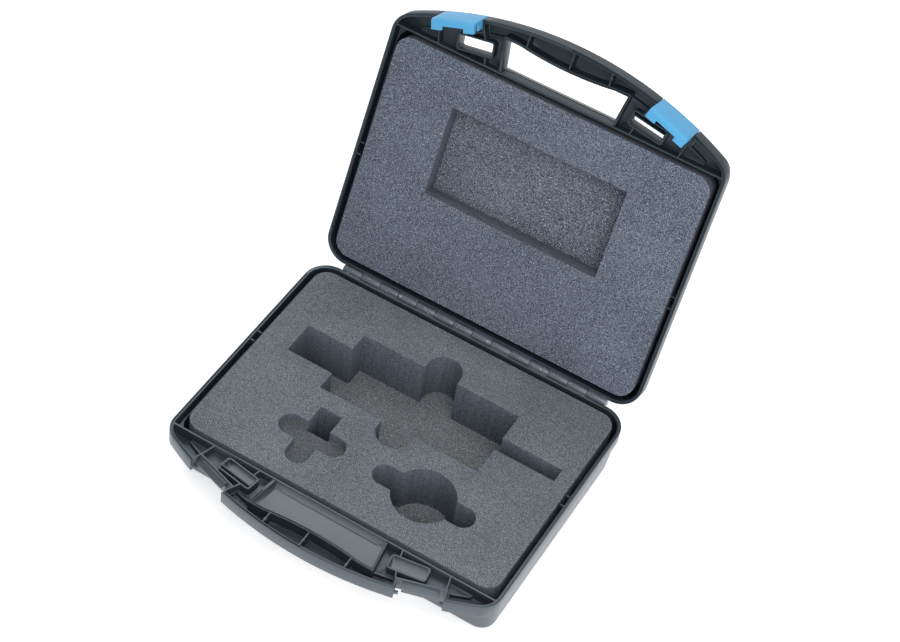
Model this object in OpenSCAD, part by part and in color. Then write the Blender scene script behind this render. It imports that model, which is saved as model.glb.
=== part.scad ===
/* [Case] */
// Width over the rim band
case_w = 306; // [280:1:340]
// Depth of the box over its front and back walls, without the handle bow
box_d = 225; // [215:1:260]
// Thickness of the rim wall
wall = 3; // [2.8:0.1:4]
// Height of the vertical band below the rim of each half
band_h = 13; // [12:0.5:16]
// Depth of the base below the parting plane
base_depth = 56; // [50:1:80]
// Depth of the lid above the parting plane
lid_depth = 33; // [28:1:60]
// Gap between the two rims when the case is shut
seam = 0.3; // [0.2:0.1:0.6]
// Corner radius of the rim in front, where the sides meet the bow
front_r = 20; // [16:1:24]
// Corner radius of the rim at the back
back_r = 22; // [16:1:26]

/* [Tray] */
// Wall of the tray below the band
tray_wall = 1.8; // [1.6:0.1:1.9]
// Step inwards from the band to the tray
tray_inset = 2.2; // [1.5:0.1:2.3]
// How much each side of the tray leans in from band to floor
tray_draft = 3.1; // [0.5:0.1:3.2]
// Corner radius of the tray seen from above
tray_corner_r = 17; // [14:1:18]
// Radius round the edge of the tray's floor
tray_edge_r = 6.5; // [5:0.5:8]

/* [Bow and grip] */
// How far the bow stands out in front of the box
bow_reach = 44.6; // [42:0.2:50]
// Radius of the bow's outer curve
bow_r = 325; // [300:5:400]
// Floor of the hollow bow
skin = 2; // [1.6:0.1:2.5]
// Width of the grip opening next to the box
grip_near_w = 102; // [95:1:110]
// Width of the grip opening at its far side
grip_far_w = 110.5; // [104:0.5:116]
// Clear depth of the grip opening
grip_reach = 27.4; // [26:0.1:29]
// How far the grip swells into the opening at its middle
grip_swell = 3.2; // [2:0.1:5]
// Half the length of the swelling
grip_swell_half = 44; // [36:1:48]
// Wall round the grip opening
grip_wall = 2.4; // [1.8:0.1:2.6]
// Spacing of the ribs inside the grip
grip_rib_pitch = 37.5; // [34:0.5:40]
// Sideways place of the middle rib, mirrored in the lid
grip_rib_shift = -2.2; // [-4:0.1:4]
// Thickness of the ribs
rib = 1.3; // [1:0.1:1.6]

/* [Strap slots] */
// Length of each slot
slot_w = 30.4; // [26:0.2:31]
// Width of each slot
slot_h = 11.7; // [9:0.1:12]
// Wall round each slot
slot_wall = 1.4; // [1:0.1:1.6]
// Corner radius of each slot
slot_r = 1.5; // [1:0.1:2]
// Distance of each slot from the middle of the case
slot_x = 79; // [78:0.5:81]
// Distance of each slot's middle from the box wall
slot_out = 11; // [9.5:0.1:11.2]
// Rise of each slot towards the corner
slot_tilt = 9; // [6:0.5:10]
// Depth of the hollow round the slots
slot_floor = 8; // [6:0.5:9]
// Width of the channel beside each narrow slot
channel_w = 2.4; // [1.5:0.1:2.8]

/* [Latches] */
// Place of each latch round the bow
latch_angle = 17.64; // [17.2:0.02:18]
// Width of the recess for a latch
recess_w = 39; // [36:0.5:40]
// Depth of the recess from the bow's outer face
recess_in = 11; // [10:0.5:12]
// Clearance each side of a latch
latch_side = 0.5; // [0.3:0.1:0.8]
// Thickness of the latch plate
latch_t = 2.6; // [2.2:0.1:2.6]
// Height of the latch above its pivot
latch_above = 2.5; // [2:0.1:2.6]
// How far the hook reaches in under the base
hook_reach = 9.4; // [9.2:0.1:9.8]
// Thickness of the hook
hook_t = 3; // [2:0.1:4]
// Space between the hook and the base when shut
hook_gap = 0.5; // [0.3:0.1:0.8]
// Width of the notch in the hook
notch_w = 19; // [10:1:24]
// Depth of the notch in the hook
notch_in = 3.5; // [2:0.1:5]
// Pivot distance in from the bow's outer face
pivot_in = 5.2; // [5:0.1:5.4]
// Pivot distance from the rim plane
pivot_z = 10; // [9.5:0.1:10.4]
// Radius of the pivot stubs
pivot_r = 1.5; // [1.1:0.1:1.5]
// Length of each pivot stub
pivot_len = 3; // [2:0.1:4]
// Running clearance of pivots and hinge rods
running = 0.05; // [0.02:0.01:0.1]
// Radius of the eyes on the latch
eye_r = 2.6; // [2.4:0.1:2.6]
// Length of each latch eye
eye_len = 4; // [3:0.5:4]
// Distance from the bow's outer face to the panel that the hook catches under
catch_in = 8.6; // [8.4:0.1:8.8]

/* [Hinge] */
// Distance of the hinge axis behind the back wall
hinge_out = 3; // [2.8:0.1:3.4]
// Radius of the knuckles
knuckle_r = 3.7; // [3.4:0.1:4]
// Length of the hinge
hinge_len = 258; // [200:2:264]
// Number of knuckles, shared in turn by base and lid
knuckles = 14; // [8:2:18]
// Gap between neighbouring knuckles
knuckle_gap = 0.4; // [0.3:0.1:0.8]
// Length of the arm that carries each knuckle
arm_h = 5; // [4:0.5:7]
// Radius of the hinge rods
rod_r = 1.5; // [1:0.1:1.7]
// Widest opening of the lid
open_angle = 110.5; // [95:0.5:120]

/* [Foam] */
// Gap between the foam and the side walls
foam_gap_x = 5; // [4.6:0.1:8]
// Gap between the foam and the front and back walls
foam_gap_y = 4; // [3.8:0.1:6]
// Corner radius of the foam
foam_r = 14; // [12:1:20]
// How far the foam lies below the rim
foam_low = 0.8; // [0.5:0.1:2]
// Thickness of the upper sheet in the base
top_sheet = 9; // [6:0.1:12]
// Thickness of the sheet under the deep pockets
floor_sheet = 6.8; // [3:0.2:12]
// Thickness of the cut sheet in the lid
lid_sheet = 17.5; // [12:0.5:19]
// Clearance between sheets and walls that touch
seat = 0.2; // [0.1:0.1:0.3]
// Length of the large tool pocket
tool_w = 150; // [120:1:156]
// Width of the large tool pocket
tool_d = 70; // [60:1:80]
// Height of the tool pocket's axis behind the middle of the foam
tool_y = 25.5; // [20:0.5:30]
// Length and width of the pocket's left end
grip_end = [44, 33]; // [10:1:50]
// Length and width of the pocket's right end
shank_end = [56, 14]; // [10:1:60]
// Width and length of the finger slot across the tool pocket
finger = [31, 112.5]; // [20:0.5:120]
// Radius of the round pocket
disc_r = 27; // [22:0.5:29]
// Place of the round pocket
disc_at = [52.7, -56.1]; // [-100:0.1:100]
// Length and width of the finger slot through the round pocket
disc_finger = [93, 21]; // [10:1:100]
// Place of the cross pocket
cross_at = [-52.5, -56.1]; // [-100:0.1:100]
// Length and width of the cross pocket's level arm
cross_arm = [61.5, 21]; // [15:0.5:70]
// Width of the cross pocket's other arm
cross_w = 20.5; // [16:0.5:24]
// Reach of the cross pocket's arm to the front
cross_front = 32.5; // [24:0.5:36]
// Length of the deep square at the back of the cross pocket
cross_square = 21.5; // [14:0.5:24]
// Front edge of the deep square, behind the middle of the cross
cross_deep = 8; // [4:0.5:10]
// Length and width of the recess in the lid
lid_recess = [163, 82]; // [60:1:180]
// Place of the recess, forward of the middle of the lid
lid_recess_y = -24; // [-30:0.2:20]

/* [Hidden] */
$fn = 64;

plastic = [0.13, 0.14, 0.16];
foam_grey = [0.40, 0.42, 0.45];
latch_blue = [0.40, 0.69, 0.87];
steel = [0.75, 0.76, 0.78];

half_w = case_w / 2;
back_y = box_d / 2;
front_y = -box_d / 2;
apex_y = front_y - bow_reach;
bow_cy = apex_y + bow_r;

// Centres of the corner arcs of the rim
front_cx = half_w - front_r;
front_cy = bow_cy - sqrt(pow(bow_r - front_r, 2) - pow(front_cx, 2));
back_cx = half_w - back_r;
back_cy = back_y - back_r;

// Thin wall between the box and the bow, set a little into the box
front_set = 0.5;
front_wall = 1.7;
box_front_y = front_y + front_set;

// Rim line: a tongue on one half of the rim enters a groove in the other
groove_out = 0.85;
groove_w = wall - 2 * groove_out;
grip_lip = 0.7;
groove_depth = 1.4;
tongue_side = 0.2;
tongue_h = 0.8;
tongue_end = 4;

hinge_y = back_y + hinge_out;
hinge_z = base_depth + seam / 2;
knuckle_pitch = hinge_len / knuckles;
knuckle_clear = 0.3;
stop_drop = knuckle_r * sin(open_angle) - arm_h * cos(open_angle) + knuckle_clear;
stop_w = 6;
stop_t = 3;
stop_at = [1, 5, 8, 12];
stop_short = 0.3;
rod_end = 0.5;

// Ribs in the hollow bow: distances from the middle and in front of the box
// Box to strap slot, slot to latch recess, beside the recess
rib_lines = [[[66.6, -1], [68.4, 6.5]], [[72, 18.3], [77, 28.5]],
             [[110, -1], [115.4, 18.6]]];
rib_bump = 2.2;

// Raised floor of the hollow, across and in from the bow's outer face
zone_x = [45, 131];
zone_in = 12.9;
zone_pad = 2.8;

// Bead along the edge of the raised floor, each side of the latch recess
bead_runs = [[45, 75.5], [113, 131]];
bead_w = 1.6;
bead_h = 1.2;

// Narrow strap slots: bar beside the channel, teeth on both ends
channel_depth = 8;
channel_bar = 1.2;
tooth = [1, 1.1];
tooth_pitch = 2.7;
tooth_drop = 6;

// Panel and shelf inside the latch recesses
panel_w = 29;
panel_low = 1.5;
shelf_in = 3.8;
shelf_low = 2;
shelf_t = 1.5;

// Small tabs inside the side walls
tab_clear = 1.2;
tab_y = [0, 11];
tab_low = 9;
tab_h = 8;

// Sides of the latch, each with a slot round the base's stub
latch_bevel = 2;
cheek_t = 1.8;
stub_clear = 0.4;
stub_rise = 0.9;

foam_w = case_w - 2 * wall - 2 * foam_gap_x;
foam_d = box_d - 2 * wall - 2 * foam_gap_y;
floor_z = tray_wall + seat;
pocket_z = floor_z + floor_sheet;
pocket_depth = base_depth - foam_low - pocket_z;
low_depth = pocket_depth - top_sheet;
tray_slices = 5;
pad_lap = 0.5;
pad_in = tray_edge_r - tray_wall - pad_lap;
tool_x = 0.5;

// Lines along which the foam of the base is divided
split_at = [tool_x, tool_y - tool_d / 2];

// Line halfway between the deep square and the finger slot
split_low_x = (cross_at.x + cross_w / 2 + tool_x - finger.x / 2) / 2;

// Facets of the large arcs and of the trays
bow_fn = 720;
swell_fn = 360;
tray_fn = 32;

// Helpers for cuts and joins: far beyond the part, clear of a face, into a face
big = 400;
cut = 1;
eps = 0.01;

// Places a child at the outer face of the bow, +Y pointing into the case
module on_bow(angle)
    translate([0, bow_cy]) rotate(angle) translate([0, -bow_r]) children();

// Outline of the rim band, drawn in by inset all round
module rim_plan(inset = 0) {
    lean = [front_cx, front_cy - bow_cy] / (bow_r - front_r);
    far = 2 * front_r;
    for (side = [-1, 1]) {
        translate([side * front_cx, front_cy]) circle(front_r - inset);
        translate([side * back_cx, back_cy]) circle(back_r - inset);
    }
    translate([-half_w + inset, front_cy])
        square([case_w - 2 * inset, back_cy - front_cy]);
    translate([-back_cx, front_cy])
        square([2 * back_cx, back_y - inset - front_cy]);
    intersection() {
        translate([0, bow_cy]) circle(bow_r - inset, $fn = bow_fn);
        polygon([[-front_cx, front_cy + eps], [front_cx, front_cy + eps],
                 [front_cx + far * lean.x, front_cy + far * lean.y],
                 [0, apex_y - front_r],
                 [-front_cx - far * lean.x, front_cy + far * lean.y]]);
    }
}

// Everything in front of a level line
module ahead_of(y) translate([-big / 2, y - big]) square([big, big]);

// Everything behind a level line
module behind(y) translate([-big / 2, y]) square([big, big]);

// Rounded rectangle about its own middle
module round_rect(size, r) {
    square([size.x - 2 * r, size.y], center = true);
    square([size.x, size.y - 2 * r], center = true);
    for (sx = [-1, 1]) for (sy = [-1, 1])
        translate([sx * (size.x / 2 - r), sy * (size.y / 2 - r)]) circle(r);
}

// Slot with round ends, longer along X or along Y
module stadium(size) {
    r = min(size.x, size.y) / 2;
    straight = size - [2 * r, 2 * r];
    square([max(straight.x, 2 * r), max(straight.y, 2 * r)], center = true);
    for (end = [-1, 1]) translate(end * straight / 2) circle(r);
}

// Thin rib seen from above, from one point to another
module rib_plan(from, to, t = rib) {
    run = to - from;
    translate(from) rotate(atan2(run.y, run.x))
        translate([0, -t / 2]) square([norm(run), t]);
}

// Grip opening, made larger by grow all round
module grip_plan(grow = 0) {
    swell_r = (pow(grip_swell_half, 2) + pow(grip_swell, 2)) / (2 * grip_swell);
    difference() {
        translate([0, front_y])
            polygon([[-grip_near_w / 2 - grow, 0], [grip_near_w / 2 + grow, 0],
                     [grip_far_w / 2 + grow, -grip_reach - grow],
                     [-grip_far_w / 2 - grow, -grip_reach - grow]]);
        translate([0, front_y - grip_reach + grip_swell - swell_r])
            circle(swell_r - grow, $fn = swell_fn);
    }
}

// Places a child at the middle of a strap slot
module at_slot(side)
    translate([side * slot_x, front_y - slot_out]) rotate(side * slot_tilt) children();

// Strap slot on one side, made larger by grow all round
module slot_plan(side, grow = 0)
    at_slot(side) round_rect([slot_w + 2 * grow, slot_h + 2 * grow], slot_r + grow);

// Strip of a strap slot between two distances from its outer side
module slot_strip(side, from, to)
    intersection() {
        slot_plan(side);
        at_slot(side) translate([-slot_w, from - slot_h / 2]) square([2 * slot_w, to - from]);
    }

// Teeth on both ends of the narrow strap slot
module slot_teeth()
    translate([0, 0, -tooth_drop]) linear_extrude(tooth_drop) at_slot(-1)
        for (end = [-1, 1]) for (k = [-1:1])
            translate([end * ((slot_w - tooth.x) / 2 + eps),
                       (channel_w + channel_bar) / 2 + k * tooth_pitch])
                square([tooth.x + 2 * eps, tooth.y], center = true);

// Latch recess on one side, open to the outside
module recess_plan(side, depth, grow = 0)
    on_bow(side * latch_angle)
        translate([-recess_w / 2 - grow, -wall]) square([recess_w + 2 * grow, depth + wall + grow]);

// Point given by its distances from the middle and from the box wall
function bow_point(side, p) = [side * p.x, front_y - p.y];

// Ribs that stand in the hollow bow
module bow_ribs() {
    near = front_y - grip_reach;
    for (i = [-1:1]) {
        x = i * grip_rib_pitch + (i == 0 ? grip_rib_shift : 0);
        rib_plan([x, near], [x, apex_y + wall]);
        translate([x, (near + apex_y) / 2]) rotate(45) square(rib_bump, center = true);
    }
    for (side = [-1, 1]) for (line = rib_lines)
        rib_plan(bow_point(side, line[0]), bow_point(side, line[1]));
}

// Hollow of the bow in front of the box wall, with the ribs left standing
module bow_hollow_plan() {
    difference() {
        intersection() {
            rim_plan(wall);
            ahead_of(box_front_y);
        }
        grip_plan(grip_wall);
        for (side = [-1, 1]) {
            slot_plan(side, slot_wall);
            recess_plan(side, recess_in, rib);
        }
        bow_ribs();
    }
}

// Band across the hollow between two distances from the middle, on both sides
module cross_bands(run)
    for (side = [-1, 1])
        translate([side > 0 ? run[0] : -run[1], front_y - bow_reach])
            square([run[1] - run[0], bow_reach + front_set]);

// Part of the bow's hollow that is shallower, round the strap slots
module raised_plan()
    intersection() {
        cross_bands(zone_x);
        union() {
            translate([0, bow_cy]) circle(bow_r - zone_in, $fn = bow_fn);
            for (side = [-1, 1]) recess_plan(side, recess_in, zone_pad);
        }
    }

// Bead along the edge of the raised floor
module floor_bead()
    translate([0, 0, -slot_floor - eps]) linear_extrude(bead_h + eps) difference() {
        intersection() {
            for (run = bead_runs) cross_bands(run);
            translate([0, bow_cy]) difference() {
                circle(bow_r - zone_in, $fn = bow_fn);
                circle(bow_r - zone_in - bead_w, $fn = bow_fn);
            }
        }
        grip_plan(grip_wall / 2);
    }

// Line along the middle of the rim walls, narrower by less on each side
module rim_line_plan(less = 0) {
    from = groove_out + less;
    to = groove_out + groove_w - less;
    intersection() {
        difference() {
            rim_plan(from);
            rim_plan(to);
        }
        ahead_of(back_cy);
    }
    intersection() {
        difference() {
            grip_plan(grip_wall - grip_lip - less);
            grip_plan(grip_lip + less);
        }
        ahead_of(front_y - grip_reach / 2 - less);
    }
}

// One side of the case, left or right of the middle
module half_plane(side)
    translate([side > 0 ? 0 : -big, -big]) square([big, 2 * big]);

// Slices of a tray from the rim side down to its floor, drawn in by in
module tray_rings(in, floor_at) {
    r_edge = tray_edge_r - in;
    for (k = [0:tray_slices]) {
        a = 90 * (k - 1) / (tray_slices - 1);
        lean = k == 0 ? 0 : tray_draft;
        pull = k == 0 ? 0 : r_edge * (1 - cos(a));
        z = k == 0 ? -band_h + skin : floor_at + r_edge * (1 - sin(a));
        r = tray_corner_r - in - lean - pull;
        inset = tray_inset + in + lean + pull + r;
        for (sx = [-1, 1]) for (sy = [-1, 1])
            translate([sx * (half_w - inset), sy * (back_y - inset), z])
                cylinder(h = eps, r = r, $fn = tray_fn);
    }
}

// Tray of one half: outer solid or inner space
module tray(depth, in = 0)
    hull() tray_rings(in, -depth + in);

// Ranges of the knuckles that belong to one half, mirrored in the lid
module each_knuckle(first)
    for (i = [first:2:knuckles - 1])
        translate([-hinge_len / 2 + i * knuckle_pitch, hinge_y, seam / 2]) children();

module across(r, length) rotate([0, 90, 0]) cylinder(r = r, h = length);

// Knuckles with the arms that join them to the back wall
module knuckle_row()
    each_knuckle(0) {
        translate([knuckle_gap / 2, 0, 0]) across(knuckle_r, knuckle_pitch - knuckle_gap);
        translate([knuckle_gap / 2, -hinge_out - cut, -arm_h])
            cube([knuckle_pitch - knuckle_gap, hinge_out + cut + knuckle_r, arm_h]);
    }

// Hollows in the back wall for the other half's knuckles
module knuckle_relief()
    each_knuckle(1)
        translate([-knuckle_gap / 2, 0, 0])
            across(knuckle_r + knuckle_clear, knuckle_pitch + knuckle_gap);

// Small ribs inside the side walls, half way along the box
module side_tabs() {
    reach = foam_gap_x - tab_clear;
    for (side = [-1, 1]) for (y = tab_y)
        translate([side > 0 ? half_w - wall - reach : -half_w + wall - eps, y, -tab_low])
            cube([reach + eps, rib, tab_h]);
}

// Short stubs that face each other across a latch recess
module pivot_stubs()
    for (side = [-1, 1])
        translate([0, bow_cy, -pivot_z]) rotate(side * latch_angle)
            for (end = [-1, 1])
                translate([end > 0 ? recess_w / 2 - pivot_len : -recess_w / 2 - eps,
                           -bow_r + pivot_in, 0])
                    across(pivot_r, pivot_len + eps);

// Block inside a latch recess, from one distance in to the recess's back
module recess_block(side, from)
    on_bow(side * latch_angle)
        translate([-panel_w / 2, from]) square([panel_w, recess_in - from + eps]);

// Panels in both recesses, and a thin shelf across the left one
module recess_fittings() {
    for (side = [-1, 1])
        translate([0, 0, -band_h]) linear_extrude(band_h - panel_low)
            recess_block(side, catch_in);
    translate([0, 0, -shelf_low - shelf_t]) linear_extrude(shelf_t)
        recess_block(-1, shelf_in);
}

// One half of the case, open upwards, with its rim plane at height zero
module half_shell(depth) {
    difference() {
        union() {
            translate([0, 0, -band_h]) linear_extrude(band_h) rim_plan();
            tray(depth);
            knuckle_row();
            // Tongue on the right half of the rim
            linear_extrude(tongue_h) intersection() {
                rim_line_plan(tongue_side);
                translate([tongue_side, 0]) half_plane(1);
                ahead_of(back_cy - tongue_end);
            }
        }
        tray(depth, tray_wall);
        // Space of the box inside the band
        translate([0, 0, -band_h + skin]) linear_extrude(band_h) intersection() {
            rim_plan(wall);
            behind(box_front_y + front_wall);
        }
        // Hollow bow, deeper in the grip and at the corners
        translate([0, 0, -band_h + skin]) linear_extrude(band_h) difference() {
            bow_hollow_plan();
            raised_plan();
        }
        translate([0, 0, -slot_floor]) linear_extrude(band_h) intersection() {
            bow_hollow_plan();
            raised_plan();
        }
        // Grip opening, strap slots and latch recesses, right through
        translate([0, 0, -band_h - cut]) linear_extrude(band_h + 3 * cut) {
            grip_plan();
            slot_strip(-1, channel_w + channel_bar, slot_h);
            slot_plan(1);
            for (side = [-1, 1]) recess_plan(side, recess_in);
        }
        // Channel beside the narrow slot
        translate([0, 0, -channel_depth]) linear_extrude(band_h)
            slot_strip(-1, 0, channel_w);
        // Groove in the left half of the rim
        translate([0, 0, -groove_depth]) linear_extrude(band_h) intersection() {
            rim_line_plan();
            half_plane(-1);
        }
        knuckle_relief();
        translate([-hinge_len / 2 - cut, hinge_y, seam / 2])
            across(rod_r + running, hinge_len + 2 * cut);
    }
    side_tabs();
    pivot_stubs();
    floor_bead();
    slot_teeth();
    recess_fittings();
}

// Stops on the back of the base that hold the open lid
module lid_stops()
    for (i = stop_at)
        translate([-hinge_len / 2 + (i + 0.5) * knuckle_pitch - stop_w / 2,
                   back_y - tray_inset, hinge_z - stop_drop - stop_t])
            cube([stop_w, tray_inset + hinge_out + knuckle_r - stop_short, stop_t]);

module base_shell() color(plastic) {
    translate([0, 0, base_depth]) half_shell(base_depth);
    lid_stops();
}

// Puts a part drawn in the shut lid where the open lid holds it
module in_open_lid()
    translate([0, hinge_y, hinge_z]) rotate([-open_angle, 0, 0])
        translate([0, -hinge_y, -hinge_z]) children();

module lid_shell() color(plastic)
    in_open_lid()
        translate([0, 0, base_depth + seam]) rotate([0, 180, 0]) half_shell(lid_depth);

// Rods of the hinge, one pushed in from each end
module hinge_rod(side)
    color(steel)
        translate([side > 0 ? rod_end : -hinge_len / 2 + rod_end, hinge_y, hinge_z])
            across(rod_r, hinge_len / 2 - 2 * rod_end);
module hinge_rod_left() hinge_rod(-1);
module hinge_rod_right() hinge_rod(1);

module foam_plan() round_rect([foam_w, foam_d], foam_r);

// Pockets cut through to the floor sheet
module deep_pockets_plan() {
    translate([tool_x, tool_y]) {
        square([tool_w, tool_d], center = true);
        translate([-tool_w / 2 - grip_end.x, -grip_end.y / 2])
            square([grip_end.x + eps, grip_end.y]);
        translate([tool_w / 2 - eps, -shank_end.y / 2])
            square([shank_end.x + eps, shank_end.y]);
        stadium(finger);
    }
    translate(disc_at) {
        circle(disc_r);
        stadium(disc_finger);
    }
    translate(cross_at + [-cross_w / 2, cross_deep]) square([cross_w, cross_square]);
}

// Cross pocket, cut only through the upper sheet
module cross_pocket_plan() {
    translate(cross_at) {
        stadium(cross_arm);
        translate([0, (cross_arm.y / 2 - cross_front) / 2])
            stadium([cross_w, cross_front + cross_arm.y / 2]);
    }
}

// Part of the foam in the base between two lines, at the front (-1) or back (1)
module base_foam(x, sy, from, thick, cross = false) color(foam_grey)
    translate([0, 0, from]) linear_extrude(thick) difference() {
        intersection() {
            foam_plan();
            translate([x[0], split_at.y - (sy > 0 ? 0 : big)]) square([x[1] - x[0], big]);
        }
        deep_pockets_plan();
        if (cross) cross_pocket_plan();
    }

module base_foam_back_left() base_foam([-big, split_at.x], 1, pocket_z, pocket_depth);
module base_foam_back_right() base_foam([split_at.x, big], 1, pocket_z, pocket_depth);
module base_foam_front_right() base_foam([split_at.x, big], -1, pocket_z, pocket_depth);

// Under the upper sheet at the front left
module base_foam_front_middle()
    base_foam([split_low_x, split_at.x], -1, pocket_z, low_depth);
module base_foam_front_left() base_foam([-big, split_low_x], -1, pocket_z, low_depth);
module base_foam_front_left_top()
    base_foam([-big, split_at.x], -1, pocket_z + low_depth, top_sheet, true);

// Sheet that lies on the tray's floor, inside its rounded edge
module floor_pad(thick)
    linear_extrude(thick)
        round_rect([foam_w - 2 * pad_in, foam_d - 2 * pad_in], foam_r);

module base_foam_floor() color(foam_grey)
    translate([0, 0, floor_z]) floor_pad(pocket_z - floor_z);

module lid_foam_sheet() color(foam_grey)
    in_open_lid() translate([0, 0, base_depth + seam + foam_low]) linear_extrude(lid_sheet)
        difference() {
            foam_plan();
            translate([0, lid_recess_y]) square(lid_recess, center = true);
        }

module lid_foam_backing() color(foam_grey)
    in_open_lid()
        translate([0, 0, base_depth + seam + foam_low + lid_sheet])
            floor_pad(lid_depth - tray_wall - seat - foam_low - lid_sheet);

// Latch shut, drawn at the middle of the bow with the rim plane at the height rim
module latch_shut(rim) {
    w = recess_w - 2 * latch_side;
    low = rim - seam - band_h - hook_gap - hook_t;
    high = rim + pivot_z + latch_above;
    stub_z = rim - seam - pivot_z;
    stub_room = pivot_r + stub_clear;
    bevel = latch_bevel * sqrt(2);
    difference() {
        union() {
            intersection() {
                translate([0, bow_r, low]) difference() {
                    cylinder(r = bow_r, h = high - low, $fn = bow_fn);
                    translate([0, 0, -cut])
                        cylinder(r = bow_r - latch_t, h = high - low + 2 * cut, $fn = bow_fn);
                }
                translate([-w / 2, -cut, low]) cube([w, 2 * latch_t + cut, high - low]);
            }
            // Hook with two teeth
            intersection() {
                translate([0, bow_r, low]) cylinder(r = bow_r, h = hook_t, $fn = bow_fn);
                translate([-w / 2, -cut, low]) cube([w, hook_reach + cut, hook_t]);
            }
            // Sides that narrow from the hook to the eyes
            for (end = [-1, 1])
                translate([end > 0 ? w / 2 - cheek_t : -w / 2, 0, 0])
                    rotate([90, 0, 90]) linear_extrude(cheek_t)
                        polygon([[latch_t / 2, low], [hook_reach, low],
                                 [pivot_in + eye_r, rim + pivot_z],
                                 [latch_t / 2, rim + pivot_z]]);
            // Eyes that turn on the stubs
            for (end = [-1, 1])
                translate([end > 0 ? w / 2 - eye_len : -w / 2, 0, rim + pivot_z]) {
                    translate([0, pivot_in, 0]) across(eye_r, eye_len);
                    translate([0, latch_t / 2, -eye_r])
                        cube([eye_len, pivot_in - latch_t / 2, 2 * eye_r]);
                }
        }
        translate([-notch_w / 2, hook_reach - notch_in, low - cut])
            cube([notch_w, notch_in + cut, hook_t + 2 * cut]);
        translate([-w / 2 - cut, pivot_in, rim + pivot_z])
            across(pivot_r + running, w + 2 * cut);
        // Room for the base's stubs, open towards the case
        translate([-w / 2 - cut, pivot_in - stub_room, stub_z - stub_room])
            cube([w + 2 * cut, hook_reach, 2 * stub_room + stub_rise]);
        // Bevel along the lower edge of the plate
        translate([0, 0, low]) rotate([45, 0, 0])
            cube([w + 2 * cut, bevel, bevel], center = true);
    }
}

module latch(side) color(latch_blue)
    in_open_lid()
        translate([0, bow_cy, 0]) rotate(side * latch_angle) translate([0, -bow_r, 0])
            latch_shut(base_depth + seam);
module latch_left() latch(-1);
module latch_right() latch(1);

base_shell();
base_foam_back_left();
base_foam_back_right();
base_foam_front_right();
base_foam_front_middle();
base_foam_front_left();
base_foam_front_left_top();
base_foam_floor();
hinge_rod_left();
hinge_rod_right();
lid_shell();
lid_foam_sheet();
lid_foam_backing();
latch_left();
latch_right();
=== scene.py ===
# %% [markdown]
# An open tool case with cut foam in both halves.
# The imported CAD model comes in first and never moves. Everything below either dresses one of its
# pieces with a finish or lays a softer, rounder piece over the plain solid that it stands for.

import math

import bmesh
import bpy
from mathutils import Matrix, Vector


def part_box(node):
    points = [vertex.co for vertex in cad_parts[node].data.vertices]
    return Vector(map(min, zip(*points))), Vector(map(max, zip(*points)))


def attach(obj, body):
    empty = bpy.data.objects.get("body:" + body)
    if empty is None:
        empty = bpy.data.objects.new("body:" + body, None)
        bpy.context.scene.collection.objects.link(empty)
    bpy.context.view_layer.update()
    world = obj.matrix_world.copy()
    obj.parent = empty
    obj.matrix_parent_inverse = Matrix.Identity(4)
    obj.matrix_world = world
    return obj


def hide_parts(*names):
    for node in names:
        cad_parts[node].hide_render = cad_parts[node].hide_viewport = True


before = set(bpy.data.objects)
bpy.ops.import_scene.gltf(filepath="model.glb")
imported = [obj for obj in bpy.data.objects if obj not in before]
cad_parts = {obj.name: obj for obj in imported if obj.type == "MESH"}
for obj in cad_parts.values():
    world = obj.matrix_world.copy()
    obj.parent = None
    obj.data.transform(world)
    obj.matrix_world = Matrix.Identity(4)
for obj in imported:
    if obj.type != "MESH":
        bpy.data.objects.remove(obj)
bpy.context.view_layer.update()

# %% [markdown]
# The CAD source is written in millimetres and Blender works in metres. The sizes below are the
# source's own, and each is multiplied by mm where it meets Blender.

# %% Units and sizes of the case
mm = 0.001
case_w = 306.0
box_d = 225.0
front_y = -box_d / 2
wall = 3.0
base_depth = 56.0
lid_depth = 33.0
tray_floor = 2.0
seam = 0.3
band_h = 13.0
bow_r = 325.0
bow_reach = 44.6
bow_cy = front_y - bow_reach + bow_r
hinge_y = box_d / 2 + 3.0
hinge_z = base_depth + seam / 2
knuckle_r = 3.7
open_angle = 110.5
print("case", case_w, "by", box_d, "mm, shut height", base_depth + seam + lid_depth)

# %% [markdown]
# Blender's operators act on whatever is selected, and the loaded CAD nodes are all selected.
# Small helpers keep the selection plain: one clears it and one picks a single piece. The third
# adds a modifier to a piece and applies it at once, so that only the mesh is left.

# %% Selection and modifier helpers
def pick_none():
    bpy.ops.object.select_all(action="DESELECT")
    bpy.context.view_layer.objects.active = None


def pick(piece):
    pick_none()
    piece.select_set(True)
    bpy.context.view_layer.objects.active = piece


def use_modifier(piece, kind, **settings):
    pick(piece)
    modifier = piece.modifiers.new(kind.title(), kind)
    for key, value in settings.items():
        setattr(modifier, key, value)
    bpy.ops.object.modifier_apply(modifier=modifier.name)


pick_none()
print("selected now:", len(bpy.context.selected_objects))

# %% [markdown]
# Shader maths reads best as ordinary sums. The class below wraps one socket and overloads two
# operators, so that `cells * 0.7 + clumps * 0.3` adds the Math nodes by itself.

# %% A socket that can be used in sums
class Value:
    def __init__(self, tree, socket):
        self.tree = tree
        self.socket = socket

    def math(self, operation, other):
        node = self.tree.nodes.new("ShaderNodeMath")
        node.operation = operation
        join(self.tree, self, node.inputs[0])
        join(self.tree, other, node.inputs[1])
        return Value(self.tree, node.outputs[0])

    def __add__(self, other):
        return self.math("ADD", other)

    def __mul__(self, other):
        return self.math("MULTIPLY", other)


def join(tree, value, slot):
    # A wrapped socket is linked to the slot, and a plain number or colour is written into it
    if isinstance(value, Value):
        tree.links.new(value.socket, slot)
    else:
        slot.default_value = value


# %% [markdown]
# One class stands for a finish while it is being mixed. Its `node` method adds any node from its
# type, its settings and the values or links of its sockets, and `skin` is the Principled shader.

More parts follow.
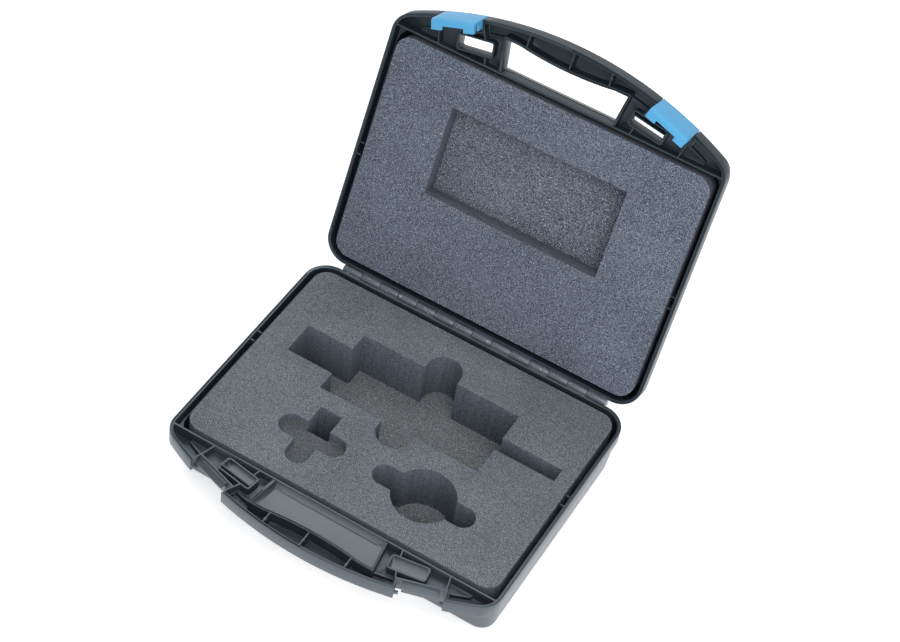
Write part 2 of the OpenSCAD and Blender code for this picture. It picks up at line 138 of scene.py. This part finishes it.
# %% A finish in the making
class Finish:
    def __init__(self, name):
        self.material = bpy.data.materials.new(name)
        self.material.use_nodes = True
        self.tree = self.material.node_tree
        self.skin = self.tree.nodes["Principled BSDF"]
        self.place = self.node("ShaderNodeTexCoord", out="Object")

    def node(self, kind, settings=None, out=0, **sockets):
        node = self.tree.nodes.new(kind)
        for key, value in (settings or {}).items():
            setattr(node, key, value)
        for key, value in sockets.items():
            join(self.tree, value, node.inputs[key.replace("_", " ")])
        return Value(self.tree, node.outputs[out])

    def noise(self, per_metre, detail=2.0, rough=0.5, stretch=(1, 1, 1)):
        placed = self.node("ShaderNodeMapping", Vector=self.place, Scale=stretch)
        return self.node("ShaderNodeTexNoise", Vector=placed, Scale=per_metre,
                         Detail=detail, Roughness=rough)

    def ramp(self, value, *stops):
        node = self.tree.nodes.new("ShaderNodeValToRGB")
        ramp = node.color_ramp
        while len(ramp.elements) < len(stops):
            ramp.elements.new(0.5)
        for element, (at, colour) in zip(ramp.elements, stops):
            element.position = at
            element.color = (*colour, 1)
        join(self.tree, value, node.inputs["Fac"])
        return Value(self.tree, node.outputs["Color"])

    def blend(self, share, first, second):
        # Sockets 6 and 7 of the Mix node are its two colours, and output 2 is the mixed one
        node = self.tree.nodes.new("ShaderNodeMix")
        node.data_type = "RGBA"
        join(self.tree, share, node.inputs[0])
        for slot, colour in ((node.inputs[6], first), (node.inputs[7], second)):
            join(self.tree, colour if isinstance(colour, Value) else (*colour, 1), slot)
        return Value(self.tree, node.outputs[2])

    def between(self, value, low, high, to_low=0.0, to_high=1.0):
        return self.node("ShaderNodeMapRange", Value=value, From_Min=low, From_Max=high,
                         To_Min=to_low, To_Max=to_high)

    def paint(self, **sockets):
        for key, value in sockets.items():
            join(self.tree, value, self.skin.inputs[key.replace("_", " ")])

    def shine(self, level, tint=(1, 1, 1)):
        self.skin.inputs["Specular IOR Level"].default_value = level
        self.skin.inputs["Specular Tint"].default_value = (*tint, 1)

    def relief(self, height, depth):
        bump = self.node("ShaderNodeBump", Height=height, Strength=1.0, Distance=depth)
        self.paint(Normal=bump)


# %% [markdown]
# The halves are moulded in a filled black plastic with a fine spark-eroded grain.
# It looks grey in the photograph because its satin skin reflects the white room, so the colour
# itself stays nearly black and the roughness does the work. A slow noise keeps it from looking
# like paint, and fine noise in the bump gives the grain.

# %% Black moulded plastic
def moulded_plastic(name, dark, light, grain, tint, shine):
    finish = Finish(name)
    cloud = finish.noise(14, detail=3)
    fine = finish.noise(1500, detail=2, rough=0.6)
    finish.paint(Base_Color=finish.blend(cloud, dark, light),
                 Roughness=finish.between(cloud * 0.6 + fine * 0.4, 0.3, 0.7, 0.37, 0.48))
    finish.relief(fine, grain)
    finish.shine(shine, tint)
    return finish.material


# The cool blue tint of the shine is painted: it stands for a cool cast of the studio light.
painted_cool_sheen_tint, shell_shine, shell_grain = (0.74, 0.88, 1.0), 0.95, 0.00004
shell_black = moulded_plastic("shell_black", (0.010, 0.013, 0.018), (0.015, 0.019, 0.025),
                              shell_grain, painted_cool_sheen_tint, shell_shine)
# The next black is the base's plastic made darker and duller, as painted shade for the open lid.
painted_shade_black = moulded_plastic("painted_shade_black", (0.007, 0.011, 0.016), (0.010, 0.016, 0.023),
                            shell_grain, (0.74, 0.89, 1.0), 0.52)
print("finishes", shell_black.name, painted_shade_black.name)

# %% [markdown]
# The hinge knuckles are paler than the rest of the shell, in a slow cloud, and a few bright
# specks on them are painted glints.

# %% Paler knuckle plastic with painted glints
def pale_knuckle_plastic(name, dark, light, glint_colour):
    finish = Finish(name)
    cloud = finish.noise(60, detail=3)
    fine = finish.noise(1500, detail=2, rough=0.6)
    # The bright specks are painted glints, a painted highlight on the knuckles.
    painted_glints = finish.between(finish.noise(500, detail=1), 0.68, 0.74)
    knuckle_tone = finish.blend(cloud, dark, light)
    finish.paint(Base_Color=finish.blend(painted_glints * 0.6, knuckle_tone, glint_colour),
                 Roughness=finish.between(cloud * 0.5 + fine * 0.5, 0.3, 0.7, 0.34, 0.46))
    finish.relief(fine, shell_grain)
    finish.shine(shell_shine, painted_cool_sheen_tint)
    return finish.material


knuckle_black = pale_knuckle_plastic("knuckle_black", (0.036, 0.043, 0.053), (0.062, 0.072, 0.086),
                               (0.42, 0.45, 0.50))
print("finish", knuckle_black.name)

# %% [markdown]
# The latches are the same kind of plastic in a light blue, with a finer grain and less shine.

# %% Light blue latch plastic
latch_blue = moulded_plastic("latch_blue", (0.070, 0.318, 0.560), (0.084, 0.348, 0.610),
                             0.00002, (0.9, 0.97, 1.0), 0.35)
print("finish", latch_blue.name)

# %% [markdown]
# The hinge wire is drawn steel: a metal with streaks along its length, which is X here.

# %% Drawn steel
def drawn_steel(name):
    finish = Finish(name)
    streak = finish.noise(900, stretch=(0.03, 1, 1))
    finish.paint(Base_Color=finish.blend(streak, (0.52, 0.52, 0.54), (0.66, 0.66, 0.68)),
                 Metallic=1.0, Roughness=finish.between(streak, 0.3, 0.7, 0.28, 0.42))
    finish.relief(streak, 0.00001)
    return finish.material


hinge_steel = drawn_steel("hinge_steel")
print("finish", hinge_steel.name)

# %% [markdown]
# The foam is a cut open-cell sheet. Seen close, it is a felt of tiny bright cell walls over dark
# hollows, which reads as a fine speckle. Three noises of different size make it: cells, clumps and
# slow clouds. Bright points come from a fourth noise that only shows above a threshold. A knife
# leaves upright streaks in the walls of the pockets, which a noise stretched along Z gives.

# %% Grey speckled foam
def speckled_foam(name, dark, mid, light, sparkle, cell=1900.0, relief=0.0003, streak=0.0):
    finish = Finish(name)
    cells = finish.noise(cell, detail=1, rough=0.6)
    clumps = finish.noise(cell * 0.3, detail=2)
    cloud = finish.noise(18, detail=2)
    tone = cells * 0.76 + clumps * 0.16 + cloud * 0.08
    colour = finish.ramp(tone, (0.38, dark), (0.50, mid), (0.62, light))
    glint = finish.noise(cell * 0.8, detail=1, stretch=(1.0, 0.6, 1.3))
    spots = finish.between(glint, 0.62, 0.70)
    pale = tuple(min(1.0, 2.1 * v + 0.05) for v in light)
    colour = finish.blend(spots * sparkle, colour, pale)
    if streak:
        cuts = finish.noise(cell * 0.3, detail=2, stretch=(1, 1, 0.03))
        colour = finish.blend(finish.between(cuts, 0.45, 0.75) * streak, colour, dark)
    finish.paint(Base_Color=colour, Roughness=1.0)
    finish.shine(0.15)
    finish.relief(cells * 0.7 + clumps * 0.3, relief)
    return finish.material


foam_face = speckled_foam("foam_face", (0.030, 0.034, 0.042), (0.096, 0.106, 0.126),
                          (0.235, 0.250, 0.280), 0.5)
foam_lid_face = speckled_foam("foam_lid_face", (0.013, 0.017, 0.026), (0.069, 0.084, 0.115),
                              (0.213, 0.242, 0.299), 0.8)
foam_wall = speckled_foam("foam_wall", (0.060, 0.069, 0.088), (0.098, 0.110, 0.138),
                          (0.142, 0.158, 0.192), 0.0, cell=1100.0, relief=0.00015, streak=0.5)
foam_bed = speckled_foam("foam_bed", (0.035, 0.038, 0.042), (0.126, 0.133, 0.142),
                         (0.262, 0.272, 0.286), 0.4, cell=1600.0)
foam_step = speckled_foam("foam_step", (0.033, 0.036, 0.040), (0.081, 0.088, 0.096),
                          (0.152, 0.160, 0.172), 0.3, cell=1600.0)
foam_lid_bed = speckled_foam("foam_lid_bed", (0.008, 0.011, 0.019), (0.058, 0.070, 0.096),
                             (0.240, 0.268, 0.318), 1.0, relief=0.0006)
print("six foam finishes, from", foam_face.name, "to", foam_lid_bed.name)

# %% [markdown]
# The lid is drawn where it stands open. These two helpers turn a place from the open lid back to
# the shut one, and tell how far a place lies from the rim plane of its half.

# %% Places in the shut case
lid_turn = (Matrix.Translation((0, hinge_y * mm, hinge_z * mm))
            @ Matrix.Rotation(math.radians(-open_angle), 4, "X")
            @ Matrix.Translation((0, -hinge_y * mm, -hinge_z * mm)))
lid_shut = lid_turn.inverted()


def from_rim(place, body):
    # Distance from the rim plane, and the place seen from above in the shut case, in millimetres
    if body == "lid":
        place = lid_shut @ place
        return place.z / mm - base_depth - seam, place.xy / mm
    return base_depth - place.z / mm, place.xy / mm


print("lid shut again:", [round(v, 1) for v in (lid_shut @ Vector((0, 0.3, 0.2))) / mm])

# %% [markdown]
# The moulded halves keep the CAD shape, which is the real one, but every real edge is a little
# round and catches the light. The lower edge of the rim band is rounded first, wherever it lies on
# the outline of the case or on the grip, and then a narrow bevel goes round all sharp edges. The
# copy then stands for the CAD node.

# %% Rounded copies of the hard pieces
grip_half_w = 56
grip_far = (20, 29)


def from_bow_centre(at):
    return math.hypot(at.x, at.y - bow_cy)


def on_outline(at):
    # True on the outer edge of the band and on both long sides of the grip opening
    ahead = front_y - at.y
    grip = abs(at.x) < grip_half_w and (grip_far[0] < ahead < grip_far[1] or abs(ahead) < 1)
    edge = abs(at.x) > case_w / 2 - wall or at.y > box_d / 2 - 1
    return edge or grip or from_bow_centre(at) > bow_r - 0.3


def round_band(piece, body, width):
    pick(piece)
    bpy.ops.object.mode_set(mode="EDIT")
    bpy.ops.mesh.select_mode(type="EDGE")
    bpy.ops.mesh.select_all(action="DESELECT")
    mesh = bmesh.from_edit_mesh(piece.data)
    for edge in mesh.edges:
        ends = [from_rim(v.co, body) for v in edge.verts]
        low = all(abs(depth - band_h) < 0.02 for depth, at in ends)
        sharp = edge.is_manifold and edge.is_convex and edge.calc_face_angle() > 1
        edge.select = low and sharp and all(on_outline(at) for depth, at in ends)
    mesh.select_flush_mode()
    bmesh.update_edit_mesh(piece.data)
    print(piece.name, sum(e.select for e in mesh.edges), "edges rounded")
    bpy.ops.mesh.bevel(offset=width * mm, segments=4)
    bpy.ops.object.mode_set(mode="OBJECT")


def rounded_copy(node, body, material, width, segments=2, band=0.0):
    piece = bpy.data.objects.new(node + "_piece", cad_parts[node].data.copy())
    bpy.context.scene.collection.objects.link(piece)
    pick(piece)
    bpy.ops.object.mode_set(mode="EDIT")
    bpy.ops.mesh.select_all(action="SELECT")
    bpy.ops.mesh.remove_doubles(threshold=0.002 * mm)
    bpy.ops.object.mode_set(mode="OBJECT")
    if band:
        round_band(piece, body, band)
    use_modifier(piece, "BEVEL", width=width * mm, segments=segments, limit_method="ANGLE",
                 angle_limit=math.radians(40), use_clamp_overlap=False, miter_outer="MITER_ARC")
    bpy.ops.object.shade_smooth_by_angle(angle=math.radians(35))
    piece.data.materials.clear()
    piece.data.materials.append(material)
    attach(piece, body)
    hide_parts(node)
    print(piece.name, len(piece.data.polygons), "faces")
    return piece


halves = {}
for body, finish in (("base", shell_black), ("lid", painted_shade_black)):
    halves[body] = rounded_copy(body + "_shell", body, finish, 0.2, band=1.2)
for side in ("latch_left", "latch_right"):
    rounded_copy(side, side, latch_blue, 0.4, segments=3)

# %% [markdown]
# The lid's black is the base's plastic made darker and duller: painted shade for the open lid.
# The knuckles of both halves lie side by side in one row and take one paler finish alike. The deep
# cells in the base's bow catch less of the room, so their floors take the painted-shade black too.

# %% Skins of the knuckles and of the deep cells
def add_skin(piece, material, chosen):
    piece.data.materials.append(material)
    faces = [face for face in piece.data.polygons if chosen(face)]
    for face in faces:
        face.material_index = len(piece.data.materials) - 1
    print(piece.name, len(faces), "faces with", material.name)


def on_knuckle(face):
    centre = face.center / mm
    return math.hypot(centre.y - hinge_y, centre.z - hinge_z) < knuckle_r + 0.2


cells_half_w = 66
cells_in = 17
cells_deep = 7


def on_cell_floor(face):
    depth, at = from_rim(face.center, "base")
    in_cells = abs(at.x) < cells_half_w and from_bow_centre(at) > bow_r - cells_in
    return face.normal.z > 0.9 and depth > cells_deep and in_cells


for half in halves.values():
    add_skin(half, knuckle_black, on_knuckle)
add_skin(halves["base"], painted_shade_black, on_cell_floor)

# %% [markdown]
# The hinge rods are plain wire, so the CAD nodes stay and only take the steel finish.

# %% Steel on the hinge rods
for node in ("hinge_rod_left", "hinge_rod_right"):
    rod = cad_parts[node]
    rod.data.materials.clear()
    rod.data.materials.append(hinge_steel)
    print(rod.name, "wears", hinge_steel.name)

# %% [markdown]
# The foam block of the base is cut from one slab. It is modelled as it would be made: a slab with
# round corners, and then one cutter for each pocket. A cutter is the pocket's outline raised to a
# prism, taken away with a Boolean and thrown out.

# %% Slabs, prisms and cuts
def slab(name, low, high):
    centre = [(a + b) / 2 * mm for a, b in zip(low, high)]
    bpy.ops.mesh.primitive_cube_add(size=1, location=centre)
    piece = bpy.context.object
    piece.name = name
    piece.scale = [(b - a) * mm for a, b in zip(low, high)]
    bpy.ops.object.transform_apply(location=True, rotation=True, scale=True)
    return piece


def prism(start, steps, at, low, high):
    # One point is drawn out along straight steps and spun round arcs, then filled and raised.
    # The spin operator turns clockwise for a positive angle, so its angle is negated here.
    bpy.ops.mesh.primitive_plane_add(size=0.001, location=(0, 0, low * mm))
    cutter = bpy.context.object
    cutter.location = [(p + q) * mm for p, q in zip(start, at)] + [low * mm]
    bpy.ops.object.transform_apply(location=True, rotation=True, scale=True)
    bpy.ops.object.mode_set(mode="EDIT")
    bpy.ops.mesh.select_mode(type="VERT")
    bpy.ops.mesh.select_all(action="SELECT")
    bpy.ops.mesh.merge(type="CENTER")
    here = start
    for step in steps:
        if len(step) == 2:
            move = [(p - q) * mm for p, q in zip(step, here)] + [0]
            bpy.ops.mesh.extrude_region_move(TRANSFORM_OT_translate={"value": move})
            here = step
        else:
            x, y, turn = step
            centre = ((x + at[0]) * mm, (y + at[1]) * mm, low * mm)
            bpy.ops.mesh.spin(steps=round(abs(turn) / 5), angle=-math.radians(turn),
                              center=centre, axis=(0, 0, 1))
            here = (Matrix.Rotation(math.radians(turn), 2)
                    @ Vector((here[0] - x, here[1] - y)) + Vector((x, y)))
    bpy.ops.mesh.select_all(action="SELECT")
    bpy.ops.mesh.remove_doubles(threshold=0.01 * mm)
    bpy.ops.mesh.edge_face_add()
    bpy.ops.mesh.extrude_region_move(TRANSFORM_OT_translate={"value": (0, 0, (high - low) * mm)})
    bpy.ops.mesh.select_all(action="SELECT")
    bpy.ops.mesh.normals_make_consistent(inside=False)
    bpy.ops.object.mode_set(mode="OBJECT")
    print("cutter", len(cutter.data.polygons), "faces, ends at", [round(v, 2) for v in here])
    return cutter


def cut(piece, cutter):
    use_modifier(piece, "BOOLEAN", object=cutter, operation="DIFFERENCE", solver="EXACT")
    bpy.data.objects.remove(cutter)


def round_corners(piece, radius, segments=12):
    # The four upright edges of a slab are the ones whose ends differ only in height
    pick(piece)
    bpy.ops.object.mode_set(mode="EDIT")
    bpy.ops.mesh.select_mode(type="EDGE")
    bpy.ops.mesh.select_all(action="DESELECT")
    mesh = bmesh.from_edit_mesh(piece.data)
    for edge in mesh.edges:
        a, b = (v.co for v in edge.verts)
        edge.select = (a - b).xy.length < 1e-6
    mesh.select_flush_mode()
    bmesh.update_edit_mesh(piece.data)
    bpy.ops.mesh.bevel(offset=radius * mm, segments=segments)
    bpy.ops.object.mode_set(mode="OBJECT")


# %% [markdown]
# The pockets hold one long tool with its two ends, a round accessory, and a small cross whose
# rear arm is cut deep. Their sizes are the ones in the CAD source.

# %% Sizes of the foam
foam_gap = (5.0, 4.0)
foam_half_w = case_w / 2 - wall - foam_gap[0]
foam_half_d = box_d / 2 - wall - foam_gap[1]
foam_r = 14
foam_low = 0.8
soft_edge = 0.5
foam_top = base_depth - foam_low
pocket_floor = foam_top - 46.4
cross_floor = foam_top - 9
tool_at = (0.5, 25.5)
disc_at = (52.7, -56.1)
cross_at = (-52.5, -56.1)
print("foam", 2 * foam_half_w, "by", 2 * foam_half_d, "mm")

# %% [markdown]
# Each outline runs anticlockwise about the middle of its pocket, from a first point through a list
# of steps. A step of two numbers is the next corner. A step of three is an arc: the place of its
# middle and its angle. The finger slots are the round ends that reach past the pockets.

# %% Outlines of the pockets
tool_outline = ((131, -7), [(131, 7), (75, 7), (75, 35), (15.5, 35), (15.5, 40.75),
                            (0, 40.75, 180), (-15.5, 35), (-75, 35), (-75, 16.5), (-119, 16.5),
                            (-119, -16.5), (-75, -16.5), (-75, -35), (-15.5, -35),
                            (-15.5, -40.75), (0, -40.75, 180), (15.5, -35), (75, -35), (75, -7)])
disc_r, disc_slot_r = 27, 10.5
meet = math.degrees(math.asin(disc_slot_r / disc_r))
meet_x = disc_r * math.cos(math.radians(meet))
disc_outline = ((36, -10.5), [(36, 0, 180), (meet_x, 10.5), (0, 0, 180 - 2 * meet),
                              (-36, 10.5), (-36, 0, 180), (-meet_x, -10.5),
                              (0, 0, 180 - 2 * meet)])
cross_outline = ((10.25, -10.5), [(20.25, -10.5), (20.25, 0, 180), (-20.25, 10.5),
                                  (-20.25, 0, 180), (-10.25, -10.5), (-10.25, -22.25),
                                  (0, -22.25, 180)])
square_outline = ((-10.25, 8), [(10.25, 8), (10.25, 29.5), (-10.25, 29.5)])
print("outlines of", [len(o[1]) + 1 for o in (tool_outline, disc_outline, cross_outline)], "steps")

# %% [markdown]
# A soft edge is what tells foam from plastic: the cut edge is slightly rounded, so a small bevel
# goes round every sharp edge after the cuts.

# %% Foam block of the base
def soften(piece):
    use_modifier(piece, "BEVEL", width=soft_edge * mm, segments=3, limit_method="ANGLE",
                 angle_limit=math.radians(50), use_clamp_overlap=False)
    bpy.ops.object.shade_smooth_by_angle(angle=math.radians(40))


block = slab("base_foam_block", (-foam_half_w, -foam_half_d, pocket_floor),
             (foam_half_w, foam_half_d, foam_top))
round_corners(block, foam_r)
deep = (pocket_floor - 1, foam_top + 1)
shallow = (cross_floor, foam_top + 1)
for outline, at, (low, high) in ((tool_outline, tool_at, deep), (disc_outline, disc_at, deep),
                                 (cross_outline, cross_at, shallow),
                                 (square_outline, cross_at, deep)):
    cut(block, prism(*outline, at, low, high))
soften(block)
print("foam block", len(block.data.polygons), "faces")

# %% [markdown]
# Faces, cut walls and pocket floors of foam look different. Each face of the mesh takes its finish
# from the way it looks and from its height.

# %% Foam finishes by the way each face looks
def finish_foam(piece, up, faces, walls, beds, bed_below):
    for material in (faces, walls, beds):
        piece.data.materials.append(material)
    for face in piece.data.polygons:
        facing = face.normal.dot(up)
        height = face.center.dot(up)
        face.material_index = 1 if facing < 0.6 else (2 if height < bed_below else 0)


finish_foam(block, Vector((0, 0, 1)), foam_face, foam_wall, foam_step, (foam_top - 4) * mm)
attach(block, "base")
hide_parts("base_foam_back_left", "base_foam_back_right", "base_foam_front_right",
            "base_foam_front_middle", "base_foam_front_left", "base_foam_front_left_top")

# %% [markdown]
# A thin pad closes the deep pockets from below. Its place and size are read from the CAD node, and
# its colour is the browner one that the photograph shows on the pocket floors.

# %% Foam pad under the block
low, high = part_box("base_foam_floor")
pad = slab("base_foam_pad", [v / mm for v in low], [v / mm for v in high])
round_corners(pad, foam_r)
soften(pad)
pad.data.materials.append(foam_bed)
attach(pad, "base")
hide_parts("base_foam_floor")
print("foam pad", len(pad.data.polygons), "faces")

# %% [markdown]
# The lid's foam is modelled in the shut lid, where its sides are square to the axes, and is then
# turned about the hinge to the open place. Both the turn and the size end up in the mesh.

# %% Foam sheet and backing of the lid
def into_open_lid(piece):
    pick(piece)
    piece.matrix_world = lid_turn @ piece.matrix_world
    bpy.ops.object.transform_apply(location=True, rotation=True, scale=True)


lid_foam_low = base_depth + seam + foam_low
lid_foam_high = lid_foam_low + 17.5
recess_y = -24
recess_half_w, recess_half_d = 81.5, 41
sheet = slab("lid_foam_sheet_piece", (-foam_half_w, -foam_half_d, lid_foam_low),
             (foam_half_w, foam_half_d, lid_foam_high))
round_corners(sheet, foam_r)
cut(sheet, slab("cutter", (-recess_half_w, recess_y - recess_half_d, lid_foam_low - 1),
                (recess_half_w, recess_y + recess_half_d, lid_foam_high + 1)))
soften(sheet)
finish_foam(sheet, Vector((0, 0, -1)), foam_lid_face, foam_wall, foam_lid_bed,
            -(lid_foam_low + 4) * mm)
into_open_lid(sheet)

# %% [markdown]
# The backing fills the lid behind the window. It is a little smaller all round, to lie inside the
# rounded edge of the tray.

# %% Backing of the lid
backing_in = 4.2
backing = slab("lid_foam_backing_piece",
               (-foam_half_w + backing_in, -foam_half_d + backing_in, lid_foam_high),
               (foam_half_w - backing_in, foam_half_d - backing_in,
                base_depth + seam + lid_depth - tray_floor))
round_corners(backing, foam_r)
soften(backing)
backing.data.materials.append(foam_lid_bed)
into_open_lid(backing)
for piece, node in ((sheet, "lid_foam_sheet"), (backing, "lid_foam_backing")):
    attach(piece, "lid")
    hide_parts(node)
    print(piece.name, len(piece.data.polygons), "faces")

# %% [markdown]
# The case stands on a plain white floor. For the camera, floor and world are pure white, as the
# photograph's background is, and the floor still takes the soft shadow of the case.

# %% Floor
bpy.ops.mesh.primitive_plane_add(size=12, location=(0, 0, -0.0002))
floor = bpy.context.object
floor.name = "floor"
white_floor = Finish("white_floor")
light_path = white_floor.tree.nodes.new("ShaderNodeLightPath")
white_floor.paint(Base_Color=(0.85, 0.85, 0.86, 1), Roughness=0.9, Emission_Color=(1, 1, 1, 1))
seen = Value(white_floor.tree, light_path.outputs["Is Camera Ray"])
mirrored = Value(white_floor.tree, light_path.outputs["Is Glossy Ray"])
far = white_floor.node("ShaderNodeVectorMath", dict(operation="LENGTH"), out="Value",
                       Vector=white_floor.place)
glow_near = white_floor.between(far, 0.6, 1.6, 1.0, 0.0)
white_floor.paint(Emission_Strength=seen * 0.45 + mirrored * glow_near)
floor.data.materials.append(white_floor.material)
print("floor", floor.dimensions.x, "m wide")

# %% [markdown]
# The world lights the object at half strength from all sides. Camera rays and glossy rays see it
# at full strength, which gives the white background and the shine of the plastic.

# %% World
world = bpy.data.worlds.new("studio")
bpy.context.scene.world = world
world.use_nodes = True
sky = world.node_tree
background = sky.nodes["Background"]
background.inputs["Color"].default_value = (1, 1, 1, 1)
path = sky.nodes.new("ShaderNodeLightPath")
to_camera = Value(sky, path.outputs["Is Camera Ray"])
to_gloss = Value(sky, path.outputs["Is Glossy Ray"])
join(sky, (to_camera + to_gloss) * 0.5 + 0.5, background.inputs["Strength"])
print("world", world.name)

# %% [markdown]
# Three soft lamps act as the studio's soft boxes: a large one above the front, a larger one above
# the back, and a small low one that lights the front right corner.

# %% Lamps
def soft_lamp(name, at, aim, size, power):
    lamp = bpy.data.lights.new(name, "AREA")
    lamp.shape = "SQUARE"
    lamp.size = size
    lamp.energy = power
    holder = bpy.data.objects.new(name, lamp)
    bpy.context.scene.collection.objects.link(holder)
    holder.location = at
    holder.rotation_euler = (Vector(aim) - Vector(at)).to_track_quat("-Z", "Y").to_euler()
    print(name, power, "W")


soft_lamp("key", (0.5, -0.9, 1.7), (0, 0, 0.05), 1.2, 21)
soft_lamp("over", (-0.5, 1.0, 1.5), (0, -0.05, 0.05), 1.4, 13)
soft_lamp("low", (0.75, -0.75, 0.35), (0.05, -0.1, 0.02), 0.6, 4)

# %% [markdown]
# The camera stands where the photographer stood. Its place and turn were fitted to the straight
# edges of the foam and the rims, and the small shift keeps the photograph's off-centre framing.

# %% Camera
camera_at = Vector((478.4, -1094.65, 1496.75)) * mm
ahead = Vector((-0.28537, 0.62814, -0.72388)).normalized()
roll = math.radians(8.893)
azimuth = math.radians(24.433)
level = Vector((math.cos(azimuth), math.sin(azimuth), 0))
raised = level.cross(ahead)
right = level * math.cos(roll) + raised * math.sin(roll)
up = right.cross(ahead)
camera_data = bpy.data.cameras.new("camera")
camera_data.lens = 91.483
camera_data.sensor_width = 36
camera_data.shift_x = 0.0477
camera_data.shift_y = -0.0673
camera_data.clip_end = 50
camera = bpy.data.objects.new("camera", camera_data)
bpy.context.scene.collection.objects.link(camera)
turned = Matrix((right, up, -ahead)).transposed().to_4x4()
camera.matrix_world = Matrix.Translation(camera_at) @ turned
bpy.context.scene.camera = camera
print("camera at", [round(v, 3) for v in camera_at], "with lens", camera_data.lens)

# %% [markdown]
# The plain Standard view shows each colour about as it is written.

# %% Colour management
bpy.context.scene.view_settings.view_transform = "Standard"
